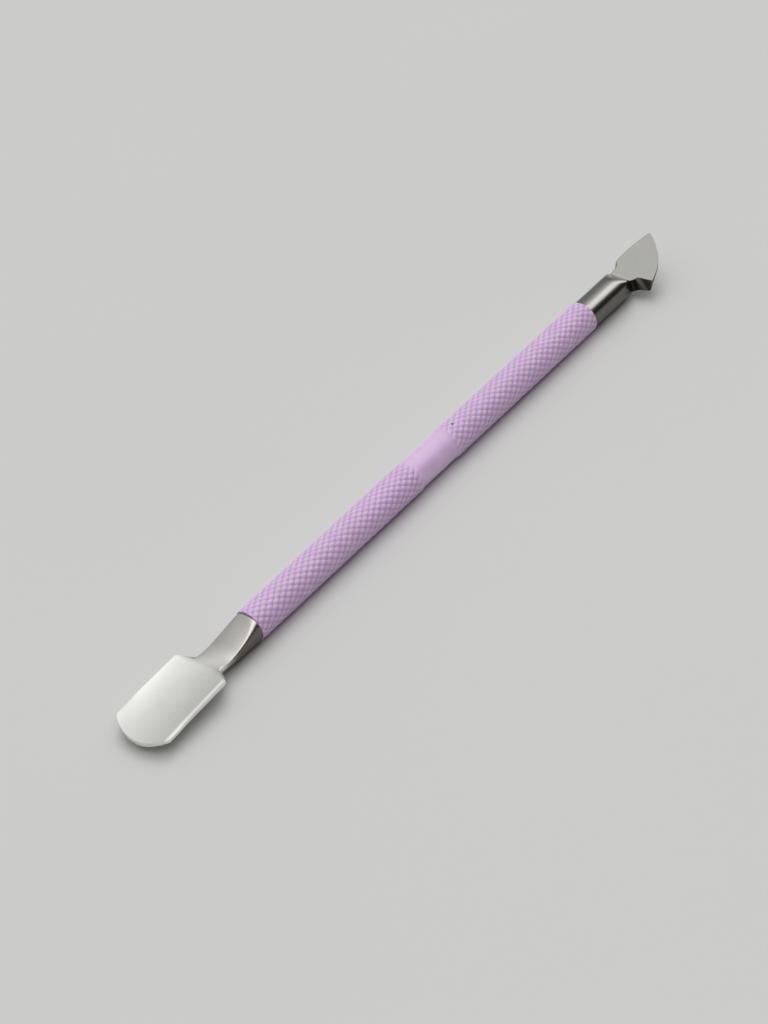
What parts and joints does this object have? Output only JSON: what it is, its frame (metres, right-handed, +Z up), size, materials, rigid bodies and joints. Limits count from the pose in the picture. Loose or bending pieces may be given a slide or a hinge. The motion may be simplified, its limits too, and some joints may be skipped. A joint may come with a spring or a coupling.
{
  "type": "cuticle pusher",
  "caption": "Slim double-ended steel nail tool: a dished spoon blade at one end, a bent-up pointed hatchet blade at the other, and a knurled coated grip between them.",
  "frame": {"origin": "on the table plane, under the middle of the whole tool's box", "axes": "+X along the tool towards the hatchet, -Y the side of the hatchet's cutting edge, +Z up from the table with the pusher's dish facing up"},
  "size_m": [0.1258, 0.0108, 0.0071],
  "materials": {
    "tip_steel": "satin ground and polished stainless steel",
    "tube_steel": "plain stainless tube, hidden under the coating",
    "coating": "lavender semi-gloss coating over a diamond knurl"
  },
  "bodies": {
    "root": {"handle_tube": "tube_steel", "grip_coating": "coating", "pusher_tip": "tip_steel", "hatchet_tip": "tip_steel"}
  },
  "joints": []
}
